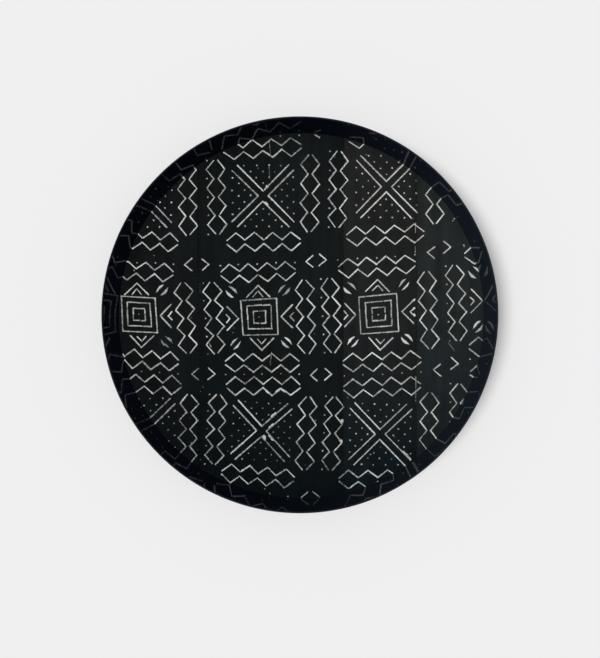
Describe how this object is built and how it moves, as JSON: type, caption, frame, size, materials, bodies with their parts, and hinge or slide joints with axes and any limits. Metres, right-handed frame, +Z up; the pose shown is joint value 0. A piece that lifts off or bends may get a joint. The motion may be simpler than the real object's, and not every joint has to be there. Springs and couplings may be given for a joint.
{
  "type": "round serving tray lined with bogolan mud cloth",
  "caption": "Round tray with a thin upright glossy black rim. Its flat floor is lined with mud cloth painted with off-white diamond chains, dotted crosses and nested squares.",
  "frame": {"origin": "centre of the flat face that the tray stands on", "axes": "+Z up, out of the tray's open side; +Y along the cloth's strips and seams; +X across them"},
  "size_m": [0.48, 0.48, 0.05],
  "materials": {
    "panel_paint": "black paint, satin",
    "rim_lacquer": "black lacquer, mirror gloss",
    "mud_cloth": "mud-dyed handwoven cotton with painted off-white lines"
  },
  "bodies": {
    "root": {"tray_panel": "panel_paint", "rim_hoop": "rim_lacquer", "cloth_strip_1": "mud_cloth", "cloth_strip_2": "mud_cloth", "cloth_strip_3": "mud_cloth", "cloth_strip_4": "mud_cloth", "cloth_strip_5": "mud_cloth"}
  },
  "joints": []
}
